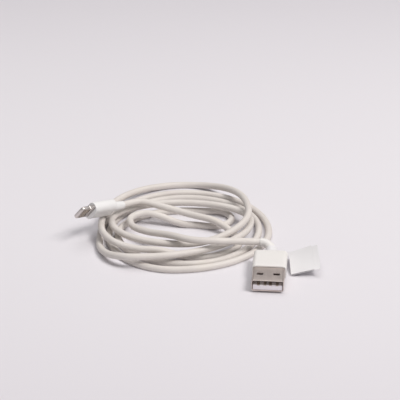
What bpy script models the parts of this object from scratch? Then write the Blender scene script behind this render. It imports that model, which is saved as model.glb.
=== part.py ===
"""Phone charging cable, loosely coiled on a table: a slim device plug, a metre of cord and a flat host plug.

Lengths below are millimetres, and MM turns them into metres.
+X is right, +Y is back and +Z is up. The table is z = 0.
Each plug has its own frame: x across, z through the thickness, nose towards -y, y = 0 at the housing's back.
"""

import math

import bmesh
import bpy
import numpy as np
from mathutils import Euler, Matrix, Vector

MM = 0.001

# Clearances
GAP = 0.3
FINE_GAP = 0.1

# Rounding of the housings' end edges and of the smallest pieces
RIM = 0.15
FINE_RIM = 0.08

# Cord
CORD_D = 2.7
CORD_FLAT = CORD_D / 10
FLOOR = CORD_D / 2 - CORD_FLAT
POINTS_PER_QUARTER = 6
LEAD_POINTS_PER_SPAN = 4
DEVICE_LEAD_SPANS = 4
HOST_LEAD_SPANS = 6

# Middle of the floor box round both plugs and the tag, as laid out on the table
ORIGIN_X = 4.1
ORIGIN_Y = -15.9

# Host plug
HOST_W = 12.9
HOST_H = 6.0
HOST_L = 13.0
HOST_CORNER = 2.3
HOST_BACK_WALL = 2.0
HOST_YAW = -4.9
SHELL_W = 12.0
SHELL_H = 4.5
SHELL_OUT = 10.4
SHELL_IN = 6.6
SHELL_SHEET = 0.3
SHELL_CORNER = 0.8
WINDOW_X = 3.1
WINDOW_W = 2.4
WINDOW_L = 1.7
WINDOW_FROM_MOUTH = 5.3
TONGUE_W = 11.0
TONGUE_T = 1.9
TONGUE_TOP = 0.25
TONGUE_SETBACK = 0.3
TONGUE_RIM = 0.25
TONGUE_BASE_L = 5.6
HOST_CONTACT_W = 1.0
HOST_CONTACT_T = 0.3
HOST_CONTACT_PROUD = 0.05
HOST_WIRES_L = 2.1
HOST_WIRES_PITCH = 2.2
HOST_CRIMP_T = 0.5
HOST_CRIMP_L = 1.6
HOST_CONTACTS = ((-3.5, 8.0), (-1.0, 7.0), (1.0, 7.0), (3.5, 8.0))

# Host strain relief: a quarter bend, then straight into the housing
HOST_BEND_X = 28.9
HOST_BEND_Y = -17.1
HOST_BEND_R = 4.4
HOST_BOOT_STRAIGHT = 3.7
HOST_BOOT_LIFT = 4.9
BOOT_ROOT_R = 1.95
BOOT_TIP_R = 1.6

# Device plug
DEVICE_W = 7.7
DEVICE_H = 4.7
DEVICE_L = 11.5
DEVICE_CORNER = 2.2
DEVICE_WALL = 0.5
DEVICE_FRONT_WALL = 1.2
DEVICE_POCKET_CORNER = 1.6
DEVICE_JACKET_END_L = 1.9
DEVICE_WIRES_PITCH = 1.2
DEVICE_PLATE_T = 0.8
DEVICE_CRIMP_T = 0.3
DEVICE_CRIMP_L = 0.8
DEVICE_EXIT = (-24.8, 12.0, 8.6)
DEVICE_YAW = -44.2
DEVICE_PITCH = -12.0
DEVICE_ROLL = -52.0
DEVICE_BOOT_L = 6.5
TIP_W = 6.7
TIP_T = 1.5
TIP_OUT = 6.6
TIP_IN = 1.9
TIP_FRONT_CORNER = 1.3
TIP_RIM = 0.6
TIP_WINDOW_W = 5.4
TIP_WINDOW_L = 3.4
TIP_WINDOW_FROM_FRONT = 2.9
DETENT_R = 0.55
DETENT_FROM_FRONT = 4.3
PADS = 8
PAD_PITCH = 0.6
PAD_W = 0.38
PAD_L = 2.3
PAD_T = 0.2
INSERT_T = 0.8
BOARD_W = 5.0
BOARD_L = 4.6
BOARD_T = 0.6
CHIP_W = 2.6
CHIP_T = 0.5
CHIP_FORWARD = 0.4
SHIELD_W = 5.8
SHIELD_H = 1.2
SHIELD_SHEET = 0.25

# Tag: a film folded round the strain relief, with a two-layer flag beside the host plug
TAG_WRAP_FROM = 0.5
TAG_WRAP_TO = 4.6
TAG_SHEET = 0.35
TAG_CORNER = (40.05, -18.4, 3.2)
TAG_RIGHT = (10.9, -0.4, 3.4)
TAG_FRONT = (-0.9, -14.0, -3.1)
TAG_FLAG_L = 9.2
TAG_BACK_L = 11.4
TAG_FLAG_W = 13.4
TAG_TAIL_L = 4.6
TAG_TAIL_W = 2.6

# Route from the device plug's strain relief to the first turn, chosen by hand
DEVICE_LEAD = [
    DEVICE_EXIT,
    (-21.4, 15.0, 8.1),
    (-17.0, 16.6, 7.7),
    (-8.0, 14.0, 6.5),
    (2.0, 10.2, 5.3),
    (11.5, 6.2, 4.5),
    (18.2, 1.4, 2.1),
]

# Turns of the coil, clockwise from the device plug: where each reaches furthest right, front, left and back.
# Two stations of one side in a row are a sideways drift. The last seven are a hairpin that turns it round.
STATIONS = [
    ("right", 21.1, -6.0, FLOOR),
    ("front", 4.0, -18.2, FLOOR),
    ("front", -14.0, -18.4, 4.7),
    ("left", -33.0, 1.0, 5.3),
    ("back", 0.0, 45.5, FLOOR),
    ("right", 25.0, 6.0, 8.7),
    ("front", -1.0, -13.8, 4.6),
    ("left", -29.1, 6.0, 4.6),
    ("back", -2.0, 22.0, 4.6),
    ("right", 25.9, 6.0, 4.7),
    ("front", -19.0, -24.8, 4.8),
    ("left", -33.5, -5.0, FLOOR),
    ("left", -33.5, 0.0, FLOOR),
    ("back", 0.0, 37.9, FLOOR),
    ("right", 33.0, 4.0, FLOOR),
    ("front", -4.0, -28.2, FLOOR),
    ("left", -30.0, 1.0, FLOOR),
    ("back", 0.0, 33.4, FLOOR),
    ("right", 29.1, 6.0, FLOOR),
    ("front", 1.0, -23.6, FLOOR),
    ("left", -26.4, 1.0, FLOOR),
    ("back", 0.0, 21.8, FLOOR),
    ("back", 11.0, 21.4, FLOOR),
    ("right", 18.4, 14.6, FLOOR),
    ("front", 11.0, 8.0, FLOOR),
    ("front", 2.0, 9.4, FLOOR),
    ("back", -15.8, 12.4, 4.6),
    ("left", -22.0, 6.4, 4.6),
]

# Route from the hairpin over the front of the coil to the host plug's strain relief, chosen by hand
HOST_LEAD = [
    (-20.2, 0.2, 4.9),
    (-14.5, -5.6, 5.7),
    (-6.0, -12.4, 7.8),
    (3.0, -18.2, 8.7),
    (13.0, -19.0, 8.6),
    (20.6, -16.6, 7.3),
    (26.0, -13.0, 5.2),
    (HOST_BEND_X, HOST_BEND_Y + HOST_BEND_R, HOST_BOOT_LIFT),
]

# Insulated wires inside the plugs, side by side where they leave the jacket
WIRE_R = 0.38
WIRE_PITCH = 0.85
WIRE_COLOURS = {
    "red": (0.62, 0.05, 0.04),
    "white": (0.82, 0.82, 0.80),
    "green": (0.05, 0.38, 0.10),
    "black": (0.03, 0.03, 0.03),
}


def clear_scene():
    for obj in list(bpy.data.objects):
        bpy.data.objects.remove(obj, do_unlink=True)


def new_collection(name, hidden=False):
    collection = bpy.data.collections.new(name)
    collection.hide_render = hidden
    bpy.context.scene.collection.children.link(collection)
    return collection


clear_scene()
PARTS = new_collection("charging_cable")
CUTTERS = new_collection("cutters", hidden=True)


def finish(name, colour, roughness, metallic=0.0):
    made = bpy.data.materials.new(name)
    made.use_nodes = True
    shader = made.node_tree.nodes["Principled BSDF"]
    shader.inputs["Base Color"].default_value = (*colour, 1.0)
    shader.inputs["Roughness"].default_value = roughness
    shader.inputs["Metallic"].default_value = metallic
    return made


JACKET = finish("cord_jacket", (0.70, 0.66, 0.62), 0.55)
WHITE = finish("plug_plastic", (0.86, 0.84, 0.81), 0.35)
STEEL = finish("plug_steel", (0.55, 0.53, 0.50), 0.30, 1.0)
INSULATOR = finish("tongue_plastic", (0.80, 0.77, 0.80), 0.45)
DARK = finish("insert_plastic", (0.05, 0.05, 0.05), 0.50)
GOLD = finish("contact_gold", (0.83, 0.62, 0.30), 0.25, 1.0)
BOARD = finish("circuit_board", (0.03, 0.17, 0.09), 0.50)
FILM = finish("tag_film", (0.84, 0.83, 0.82), 0.40)
WIRES = {name: finish("wire_" + name, colour, 0.45) for name, colour in WIRE_COLOURS.items()}


def on_table(x, y, z):
    """A point of the layout as metres in the part's frame."""
    return Vector((x - ORIGIN_X, y - ORIGIN_Y, z)) * MM


def empty(name, location, parent=None, rotation=(0.0, 0.0, 0.0)):
    made = bpy.data.objects.new(name, None)
    made.empty_display_size = 4 * MM
    made.location = location
    made.rotation_mode = "YXZ"
    made.rotation_euler = [math.radians(a) for a in rotation]
    made.parent = parent
    PARTS.objects.link(made)
    return made


def solid(name, bm, material, parent=None, at=(0.0, 0.0, 0.0), collection=None):
    """An object from a bmesh whose points are in millimetres, placed in its parent's frame."""
    bmesh.ops.scale(bm, vec=(MM, MM, MM), verts=bm.verts)
    bmesh.ops.recalc_face_normals(bm, faces=bm.faces)
    mesh = bpy.data.meshes.new(name)
    bm.to_mesh(mesh)
    bm.free()
    mesh.shade_smooth()
    mesh.set_sharp_from_angle(angle=math.radians(35))
    mesh.materials.append(material)
    made = bpy.data.objects.new(name, mesh)
    made.parent = parent
    made.location = Vector(at) * MM
    (collection or PARTS).objects.link(made)
    if collection is CUTTERS:
        made.hide_render = True
        made.display_type = "WIRE"
    return made


def bar(width, length, height, corner=0.0, steps=3):
    """A bar along y with its four long edges rounded."""
    bm = bmesh.new()
    bmesh.ops.create_cube(bm, size=1.0)
    bmesh.ops.scale(bm, vec=(width, length, height), verts=bm.verts)
    if corner:
        long_edges = [e for e in bm.edges if abs(e.verts[0].co.y - e.verts[1].co.y) > length / 2]
        bmesh.ops.bevel(bm, geom=long_edges, offset=corner, segments=steps, profile=0.5, affect="EDGES")
    return bm


def rod(radius, length, sides=16):
    """A round rod along y."""
    bm = bmesh.new()
    bmesh.ops.create_cone(bm, cap_ends=True, segments=sides, radius1=radius, radius2=radius, depth=length)
    bmesh.ops.rotate(bm, verts=bm.verts, matrix=Euler((math.pi / 2, 0, 0)).to_matrix())
    return bm


def boolean(obj, other, operation="DIFFERENCE"):
    modifier = obj.modifiers.new(operation.lower(), "BOOLEAN")
    modifier.operation = operation
    modifier.solver = "EXACT"
    modifier.object = other


def cut(obj, name, bm, at):
    boolean(obj, solid(obj.name + "_" + name, bm, STEEL, obj.parent, at, CUTTERS))


def round_rims(obj, width, segments=2, angle=50):
    modifier = obj.modifiers.new("rims", "BEVEL")
    modifier.width = width * MM
    modifier.segments = segments
    modifier.limit_method = "ANGLE"
    modifier.angle_limit = math.radians(angle)


def smooth_route(points, before, after, per_span):
    """Points on the smooth curve through the route's points, each span a cubic shaped by its neighbours."""
    knots = np.array([before, *points, after], float)
    made = []
    t = np.linspace(0, 1, per_span, endpoint=False)[:, None]
    for k in range(1, len(knots) - 2):
        p0, p1, p2, p3 = knots[k - 1 : k + 3]
        linear = p2 - p0
        square = 2 * p0 - 5 * p1 + 4 * p2 - p3
        cube = 3 * p1 - p0 - 3 * p2 + p3
        made.append(p1 + (linear * t + square * t**2 + cube * t**3) / 2)
    made.append(knots[-2:-1])
    return np.vstack(made)


def wound_turns(stations, per_quarter):
    """Quarter ellipses from station to station, with eased heights.

    The cord runs along an axis of the table at each station.
    """
    made = []
    for (side, *start), (next_side, *end) in zip(stations, stations[1:]):
        t = np.linspace(0, 1, per_quarter, endpoint=False)
        ease = (1 - np.cos(np.pi * t)) / 2
        turn = t * np.pi / 2
        x_share = t
        y_share = ease
        if side in ("left", "right"):
            x_share = 1 - np.cos(turn)
            y_share = np.sin(turn)
        elif next_side in ("left", "right"):
            x_share = np.sin(turn)
            y_share = 1 - np.cos(turn)
        shares = np.stack([x_share, y_share, ease], axis=1)
        made.append(np.array(start) + shares * (np.array(end) - np.array(start)))
    made.append(np.array([stations[-1][1:]]))
    return np.vstack(made)


def along(points):
    return np.r_[0, np.cumsum(np.linalg.norm(np.diff(points, axis=0), axis=1))]


def least_gap(points, diameter):
    """Prints the least space between the cord and itself.

    It is measured on points a quarter diameter apart, and near neighbours along the cord are left out.
    """
    run = along(points)
    at = np.arange(0, run[-1], diameter / 4)
    dense = np.stack([np.interp(at, run, points[:, k]) for k in range(3)], axis=1)
    apart = np.linalg.norm(dense[:, None] - dense[None, :], axis=2)
    apart[np.abs(at[:, None] - at[None, :]) < 3 * diameter] = np.inf
    spot = dense[np.unravel_index(apart.argmin(), apart.shape)[0]].round(1)
    print(f"least gap of the cord to itself {apart.min() - diameter:.2f} mm, at {spot} on the table")


def trimmed(points, from_start, from_end):
    """The same line with a little taken off its ends."""
    run = along(points)
    keep = (run > from_start + 0.2) & (run < run[-1] - from_end - 0.2)
    ends = [[np.interp(s, run, points[:, k]) for k in range(3)] for s in (from_start, run[-1] - from_end)]
    return np.vstack([ends[0], points[keep], ends[1]])


def tube(name, points, radii, material, resolution, parent=None):
    """A curve object along layout points, capped, as thick at each point as radii says."""
    curve = bpy.data.curves.new(name, "CURVE")
    curve.dimensions = "3D"
    curve.bevel_depth = MM
    curve.bevel_resolution = resolution
    curve.use_fill_caps = True
    spline = curve.splines.new("POLY")
    spline.points.add(len(points) - 1)
    for spot, point, radius in zip(spline.points, points, np.broadcast_to(radii, len(points))):
        spot.co = (*on_table(*point), 1.0)
        spot.radius = radius
    curve.materials.append(material)
    made = bpy.data.objects.new(name, curve)
    PARTS.objects.link(made)
    if parent:
        bpy.context.view_layer.update()
        made.parent = parent
        made.matrix_parent_inverse = parent.matrix_world.inverted()
    return made


def as_mesh(obj, collection=None):
    """The curve object made a mesh object of the same name, with its caps welded on."""
    graph = bpy.context.evaluated_depsgraph_get()
    mesh = bpy.data.meshes.new_from_object(obj.evaluated_get(graph))
    bm = bmesh.new()
    bm.from_mesh(mesh)
    bmesh.ops.remove_doubles(bm, verts=bm.verts, dist=0.001 * MM)
    bmesh.ops.recalc_face_normals(bm, faces=bm.faces)
    bm.to_mesh(mesh)
    bm.free()
    mesh.shade_smooth()
    mesh.set_sharp_from_angle(angle=math.radians(60))
    name, parent, inverse = obj.name, obj.parent, obj.matrix_parent_inverse.copy()
    bpy.data.objects.remove(obj, do_unlink=True)
    made = bpy.data.objects.new(name, mesh)
    (collection or PARTS).objects.link(made)
    made.parent = parent
    made.matrix_parent_inverse = inverse
    return made


def flatten_on_table(obj):
    """Cuts off what a resting cord presses flat, at z = 0."""
    bm = bmesh.new()
    bm.from_mesh(obj.data)
    everything = bm.verts[:] + bm.edges[:] + bm.faces[:]
    bmesh.ops.bisect_plane(bm, geom=everything, plane_co=(0, 0, 0), plane_no=(0, 0, -1), clear_outer=True)
    bmesh.ops.holes_fill(bm, edges=[e for e in bm.edges if e.is_boundary], sides=0)
    bmesh.ops.recalc_face_normals(bm, faces=bm.faces)
    bm.to_mesh(obj.data)
    bm.free()


def host_boot_line():
    """The host strain relief's middle line, from the cord to the housing: the bend, then the straight."""
    turn = np.radians(np.linspace(0, 90 - HOST_YAW, 10))
    round_the_corner = np.stack([np.sin(turn), np.cos(turn)], axis=1)
    bend = np.array([HOST_BEND_X, HOST_BEND_Y]) + HOST_BEND_R * round_the_corner
    nose = np.array([math.sin(math.radians(HOST_YAW)), -math.cos(math.radians(HOST_YAW))])
    line = np.vstack([bend, bend[-1] + nose * HOST_BOOT_STRAIGHT])
    share = along(line) / along(line)[-1]
    height = HOST_BOOT_LIFT + (HOST_H / 2 - HOST_BOOT_LIFT) * (1 - np.cos(np.pi * share)) / 2
    return np.column_stack([line, height])


def coil_and_leads():
    turns = wound_turns(STATIONS, POINTS_PER_QUARTER)
    exit_way = plug_axis(DEVICE_YAW, DEVICE_PITCH)
    behind = np.array(DEVICE_EXIT) + exit_way * CORD_D
    first = smooth_route([*DEVICE_LEAD, turns[0]], behind, turns[1], LEAD_POINTS_PER_SPAN)
    boot = host_boot_line()
    last = smooth_route([turns[-1], *HOST_LEAD], turns[-2], boot[1], LEAD_POINTS_PER_SPAN)
    cord = np.vstack([first[:-1], turns[:-1], last])
    print(f"cord length {along(cord)[-1]:.0f} mm")
    least_gap(cord, CORD_D)
    leave = DEVICE_LEAD_SPANS * LEAD_POINTS_PER_SPAN
    join = len(cord) - 1 - HOST_LEAD_SPANS * LEAD_POINTS_PER_SPAN
    tube("device_lead", trimmed(cord[: leave + 1], GAP, GAP / 2), CORD_D / 2, JACKET, 2)
    tube("host_lead", trimmed(cord[join:], GAP / 2, GAP), CORD_D / 2, JACKET, 2)
    middle = trimmed(cord[leave : join + 1], GAP / 2, GAP / 2)
    flatten_on_table(as_mesh(tube("cord_coil", middle, CORD_D / 2, JACKET, 1)))


def plug_axis(yaw, pitch):
    """The way that a plug's nose points."""
    turn = Euler((math.radians(pitch), 0, math.radians(yaw)), "XYZ").to_matrix()
    return np.array(turn @ Vector((0, -1, 0)))


def plug_wires(prefix, start_y, end_y, end_pitch, parent):
    """Four insulated wires fanned out flat from the end of the jacket to the contacts."""
    for k, (colour, material) in enumerate(WIRES.items()):
        side = k - 1.5
        curve = bpy.data.curves.new(prefix + colour, "CURVE")
        curve.dimensions = "3D"
        curve.bevel_depth = WIRE_R * MM
        curve.bevel_resolution = 2
        curve.use_fill_caps = True
        spline = curve.splines.new("POLY")
        share = np.linspace(0, 1, 6)
        ease = (1 - np.cos(np.pi * share)) / 2
        spline.points.add(len(share) - 1)
        for spot, s, e in zip(spline.points, share, ease):
            x = side * (WIRE_PITCH + (end_pitch - WIRE_PITCH) * e)
            y = start_y + (end_y - start_y) * s
            spot.co = (x * MM, y * MM, 0.0, 1.0)
        curve.materials.append(material)
        made = bpy.data.objects.new(prefix + colour, curve)
        made.parent = parent
        PARTS.objects.link(made)


def ring(name, wall, length, y, parent):
    """A metal ring crimped round the end of the jacket."""
    bore = CORD_D / 2 + FINE_GAP
    made = solid(name, rod(CORD_D / 2 + wall, length, 20), STEEL, parent, (0, y, 0))
    cut(made, "bore", rod(bore, length + 2, 20), (0, y, 0))


def host_plug(swing):
    boot = host_boot_line()
    plug = empty("host_plug", on_table(*boot[-1]) - swing.location, swing, (0, 0, HOST_YAW))
    mouth = -HOST_L - SHELL_OUT
    shell_back = -HOST_L + SHELL_IN
    shell_l = SHELL_OUT + SHELL_IN
    block = bar(HOST_W, HOST_L, HOST_H, HOST_CORNER, 5)
    housing = solid("host_housing", block, WHITE, plug, (0, -HOST_L / 2, 0))
    round_rims(housing, RIM)
    pocket_l = HOST_L - HOST_BACK_WALL
    pocket = bar(SHELL_W + 2 * FINE_GAP, pocket_l + 1, SHELL_H + 2 * FINE_GAP, SHELL_CORNER)
    cut(housing, "pocket", pocket, (0, -HOST_L + pocket_l / 2 - 0.5, 0))
    cut(housing, "cord_hole", rod(CORD_D / 2 + GAP, 2 * HOST_BACK_WALL), (0, 0, 0))
    outside = bar(SHELL_W, shell_l, SHELL_H, SHELL_CORNER)
    shell = solid("host_shell", outside, STEEL, plug, (0, mouth + shell_l / 2, 0))
    inside_w = SHELL_W - 2 * SHELL_SHEET
    inside_h = SHELL_H - 2 * SHELL_SHEET
    inside = bar(inside_w, shell_l + 2, inside_h, SHELL_CORNER - SHELL_SHEET)
    cut(shell, "inside", inside, (0, mouth + shell_l / 2, 0))
    for side in (-1, 1):
        window = bar(WINDOW_W, WINDOW_L, SHELL_H + 2)
        cut(shell, f"window_{side + 1}", window, (side * WINDOW_X, mouth + WINDOW_FROM_MOUTH, 0))
    tongue_l = shell_l - TONGUE_SETBACK - GAP
    tongue_front = mouth + TONGUE_SETBACK
    tongue_y = tongue_front + tongue_l / 2
    tongue_z = TONGUE_TOP - TONGUE_T / 2
    blade = bar(TONGUE_W, tongue_l, TONGUE_T)
    tongue = solid("host_tongue", blade, INSULATOR, plug, (0, tongue_y, tongue_z))
    round_rims(tongue, TONGUE_RIM)
    base_y = shell_back - GAP - TONGUE_BASE_L / 2
    base = bar(TONGUE_W, TONGUE_BASE_L, inside_h - 4 * FINE_GAP)
    boolean(tongue, solid("host_tongue_base", base, INSULATOR, plug, (0, base_y, 0), CUTTERS), "UNION")
    base_front = base_y - TONGUE_BASE_L / 2
    for k, (x, reach) in enumerate(HOST_CONTACTS):
        groove_w = HOST_CONTACT_W + 4 * FINE_GAP
        groove_l = reach + 2 * GAP
        groove_y = base_front - groove_l / 2
        groove = bar(groove_w, groove_l, 2 * (HOST_CONTACT_T + FINE_GAP))
        cut(tongue, f"groove_{k}", groove, (x, groove_y, TONGUE_TOP))
        strip = bar(HOST_CONTACT_W, reach, HOST_CONTACT_T)
        strip_z = TONGUE_TOP + HOST_CONTACT_PROUD - HOST_CONTACT_T / 2
        made = solid(f"host_contact_{k + 1}", strip, GOLD, plug, (x, groove_y, strip_z))
        round_rims(made, FINE_RIM, 1)
    jacket_end = shell_back + HOST_WIRES_L
    solid("host_jacket_end", rod(CORD_D / 2, -jacket_end), JACKET, plug, (0, jacket_end / 2, 0))
    crimp_y = -HOST_BACK_WALL - GAP - HOST_CRIMP_L / 2
    ring("host_crimp", HOST_CRIMP_T, HOST_CRIMP_L, crimp_y, plug)
    plug_wires("host_wire_", jacket_end - GAP, shell_back, HOST_WIRES_PITCH, plug)
    root = trimmed(boot, 0.0, GAP)
    radii = BOOT_TIP_R + (BOOT_ROOT_R - BOOT_TIP_R) * along(root) / along(root)[-1]
    tube("host_strain_relief", root, radii, WHITE, 3, swing)
    return boot


def tag(boot, swing):
    wrapped = trimmed(boot, along(boot)[-1] - TAG_WRAP_TO, TAG_WRAP_FROM)
    sleeve_r = BOOT_ROOT_R + FINE_GAP
    sleeve = as_mesh(tube("tag_sleeve", wrapped, sleeve_r + TAG_SHEET, FILM, 3, swing))
    longer = np.vstack([2 * wrapped[0] - wrapped[1], wrapped, 2 * wrapped[-1] - wrapped[-2]])
    bore = as_mesh(tube("tag_sleeve_bore", longer, sleeve_r, FILM, 3, swing), CUTTERS)
    bore.hide_render = True
    bore.display_type = "WIRE"
    boolean(sleeve, bore)
    right = Vector(TAG_RIGHT).normalized()
    up = right.cross(-Vector(TAG_FRONT)).normalized()
    fold = empty("tag_fold", on_table(*TAG_CORNER) - swing.location, swing)
    fold.rotation_mode = "QUATERNION"
    fold.rotation_quaternion = Matrix([right, up.cross(right), up]).transposed().to_quaternion()
    leaf("tag_tail", -TAG_TAIL_L, -GAP, TAG_TAIL_W, 0.0, fold)
    leaf("tag_flag", 0.0, TAG_FLAG_L, TAG_FLAG_W, 0.0, fold)
    leaf("tag_back_leaf", 0.0, TAG_BACK_L, TAG_FLAG_W, -TAG_SHEET - FINE_GAP, fold)


def leaf(name, left, right, width, drop, fold):
    """A flat leaf of the folded film, from left to right of the fold and width wide towards the front."""
    sheet = bar(right - left, width, TAG_SHEET)
    return solid(name, sheet, FILM, fold, ((left + right) / 2, -width / 2, drop + TAG_SHEET / 2))


def device_plug(swing):
    plug_way = plug_axis(DEVICE_YAW, DEVICE_PITCH)
    back = np.array(DEVICE_EXIT) + plug_way * DEVICE_BOOT_L
    turns = (DEVICE_PITCH, DEVICE_ROLL, DEVICE_YAW)
    plug = empty("device_plug", on_table(*back) - swing.location, swing, turns)
    block = bar(DEVICE_W, DEVICE_L, DEVICE_H, DEVICE_CORNER, 5)
    housing = solid("device_housing", block, WHITE, plug, (0, -DEVICE_L / 2, 0))
    round_rims(housing, RIM)
    pocket_w = DEVICE_W - 2 * DEVICE_WALL
    pocket_h = DEVICE_H - 2 * DEVICE_WALL
    pocket_l = DEVICE_L - DEVICE_FRONT_WALL
    pocket = bar(pocket_w, pocket_l + 1, pocket_h, DEVICE_POCKET_CORNER)
    cut(housing, "pocket", pocket, (0, 0.5 - pocket_l / 2, 0))
    slot = bar(TIP_W + 3 * FINE_GAP, 4 * DEVICE_FRONT_WALL, TIP_T + 3 * FINE_GAP, TIP_T / 2)
    cut(housing, "slot", slot, (0, -DEVICE_L, 0))
    tip_front = -DEVICE_L - TIP_OUT
    device_tip(plug, tip_front)
    board_front = tip_front + TIP_OUT + TIP_IN + GAP
    board_y = board_front + BOARD_L / 2
    solid("device_board", bar(BOARD_W, BOARD_L, BOARD_T), BOARD, plug, (0, board_y, 0))
    chip_z = BOARD_T / 2 + FINE_GAP + CHIP_T / 2
    chip = solid("device_chip", bar(CHIP_W, CHIP_W, CHIP_T), DARK, plug, (0, board_y - CHIP_FORWARD, chip_z))
    round_rims(chip, FINE_RIM, 1)
    for name, side in (("upper", 1), ("lower", -1)):
        middle = side * (FINE_GAP + SHIELD_H / 2)
        lid = bar(SHIELD_W, BOARD_L, SHIELD_H)
        shield = solid(f"device_shield_{name}", lid, STEEL, plug, (0, board_y, middle))
        hollow = bar(SHIELD_W - 2 * SHIELD_SHEET, BOARD_L + 2, SHIELD_H)
        cut(shield, "hollow", hollow, (0, board_y, middle - side * SHIELD_SHEET))
    board_back = board_y + BOARD_L / 2
    jacket_end = -DEVICE_JACKET_END_L
    plug_wires("device_wire_", jacket_end - FINE_GAP, board_back + FINE_GAP, DEVICE_WIRES_PITCH, plug)
    solid("device_jacket_end", rod(CORD_D / 2, -jacket_end), JACKET, plug, (0, jacket_end / 2, 0))
    plate_w = pocket_w - 2 * FINE_GAP
    plate_h = pocket_h - 2 * FINE_GAP
    plate_at = (0, -DEVICE_PLATE_T / 2, 0)
    sheet = bar(plate_w, DEVICE_PLATE_T, plate_h, DEVICE_POCKET_CORNER - FINE_GAP)
    plate = solid("device_back_plate", sheet, WHITE, plug, plate_at)
    cut(plate, "cord_hole", rod(CORD_D / 2 + FINE_GAP, 3), plate_at)
    crimp_y = -DEVICE_PLATE_T - 2 * FINE_GAP - DEVICE_CRIMP_L / 2
    ring("device_crimp", DEVICE_CRIMP_T, DEVICE_CRIMP_L, crimp_y, plug)
    start = np.array(DEVICE_EXIT)
    line = start + np.linspace(0, 1, 7)[:, None] * (back - start)
    root = trimmed(line, 0.0, GAP)
    radii = BOOT_TIP_R + (BOOT_ROOT_R - BOOT_TIP_R) * along(root) / along(root)[-1]
    tube("device_strain_relief", root, radii, WHITE, 3, swing)


def device_tip(plug, front):
    """The flat metal tongue: rounded nose, a detent in each edge and a window for the contacts."""
    length = TIP_OUT + TIP_IN
    bm = bmesh.new()
    bmesh.ops.create_cube(bm, size=1.0)
    bmesh.ops.scale(bm, vec=(TIP_W, length, TIP_T), verts=bm.verts)
    front_edges = [e for e in bm.edges if max(v.co.y for v in e.verts) < 0]
    nose = [e for e in front_edges if abs(e.verts[0].co.z - e.verts[1].co.z) > 0]
    bmesh.ops.bevel(bm, geom=nose, offset=TIP_FRONT_CORNER, segments=4, profile=0.5, affect="EDGES")
    tip = solid("device_tip", bm, STEEL, plug, (0, front + length / 2, 0))
    round_rims(tip, TIP_RIM, 3)
    window_y = front + TIP_WINDOW_FROM_FRONT
    cut(tip, "window", bar(TIP_WINDOW_W, TIP_WINDOW_L, TIP_T + 1), (0, window_y, 0))
    for side in (-1, 1):
        detent = rod(DETENT_R, TIP_T + 1, 12)
        bmesh.ops.rotate(detent, verts=detent.verts, matrix=Euler((math.pi / 2, 0, 0)).to_matrix())
        cut(tip, f"detent_{side + 1}", detent, (side * (TIP_W / 2 + 0.1), front + DETENT_FROM_FRONT, 0))
    insert = bar(TIP_WINDOW_W - 3 * FINE_GAP, TIP_WINDOW_L - 3 * FINE_GAP, INSERT_T)
    solid("device_insert", insert, DARK, plug, (0, window_y, 0))
    for face, side in (("a", 1), ("b", -1)):
        for k in range(PADS):
            x = (k - (PADS - 1) / 2) * PAD_PITCH
            z = side * (INSERT_T / 2 + FINE_GAP + PAD_T / 2)
            solid(f"device_contact_{face}{k + 1}", bar(PAD_W, PAD_L, PAD_T), GOLD, plug, (x, window_y, z))


def main():
    host_swing = empty("host_swing", on_table(*host_boot_line()[0]))
    device_swing = empty("device_swing", on_table(*DEVICE_EXIT))
    coil_and_leads()
    boot = host_plug(host_swing)
    tag(boot, host_swing)
    device_plug(device_swing)


main()
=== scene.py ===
# %% [markdown]
# # A coiled charging cable
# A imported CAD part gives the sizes, the bodies and the joints. In this lesson we dress it for a
# photograph: the soft pieces get their shape, every surface gets its look, and the scene gets a camera
# and light.

import math

import bpy
import numpy as np
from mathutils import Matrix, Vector


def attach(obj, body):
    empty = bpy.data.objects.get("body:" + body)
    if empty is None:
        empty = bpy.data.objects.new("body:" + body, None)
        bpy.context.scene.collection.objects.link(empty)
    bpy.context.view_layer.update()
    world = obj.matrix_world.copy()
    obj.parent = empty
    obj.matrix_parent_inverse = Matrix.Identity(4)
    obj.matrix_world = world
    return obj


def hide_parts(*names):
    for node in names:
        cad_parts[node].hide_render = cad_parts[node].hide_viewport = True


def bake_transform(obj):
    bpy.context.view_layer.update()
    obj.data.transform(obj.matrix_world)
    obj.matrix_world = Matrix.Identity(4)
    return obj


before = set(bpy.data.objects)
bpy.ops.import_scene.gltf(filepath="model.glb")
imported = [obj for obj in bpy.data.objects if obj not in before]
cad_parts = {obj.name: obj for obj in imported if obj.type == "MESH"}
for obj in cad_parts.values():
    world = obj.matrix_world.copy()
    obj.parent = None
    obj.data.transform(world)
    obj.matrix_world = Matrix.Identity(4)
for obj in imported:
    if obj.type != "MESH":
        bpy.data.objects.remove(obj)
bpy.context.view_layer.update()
print("pieces:", len(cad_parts))

# %% [markdown]
# The layout of the cable is in millimetres, measured from a point on the table under the coil. The part's
# own frame starts at the middle of the floor box round both plugs and the tag. We could convert every
# size by hand, but one function that shifts and scales whole arrays keeps all the numbers below in plain
# millimetres.

# %% Layout to part frame
ORIGIN = np.array([4.1, -15.9, 0.0])
COIL_MIDDLE = (0.0, 8.0, 0.0)


def on_table(points):
    """Layout points in millimetres as metres in the part's frame."""
    return (np.asarray(points, float) - ORIGIN) / 1000


print("the coil's middle in the part's frame:", on_table(COIL_MIDDLE).round(4))

# %% [markdown]
# ## Camera
# The photograph looks down at about 26 degrees through a long lens, so lines that run away hardly close
# in. We aim at the table point in the middle of the picture. The lens could be found by trial, but it
# follows from how wide the view is there.

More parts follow.
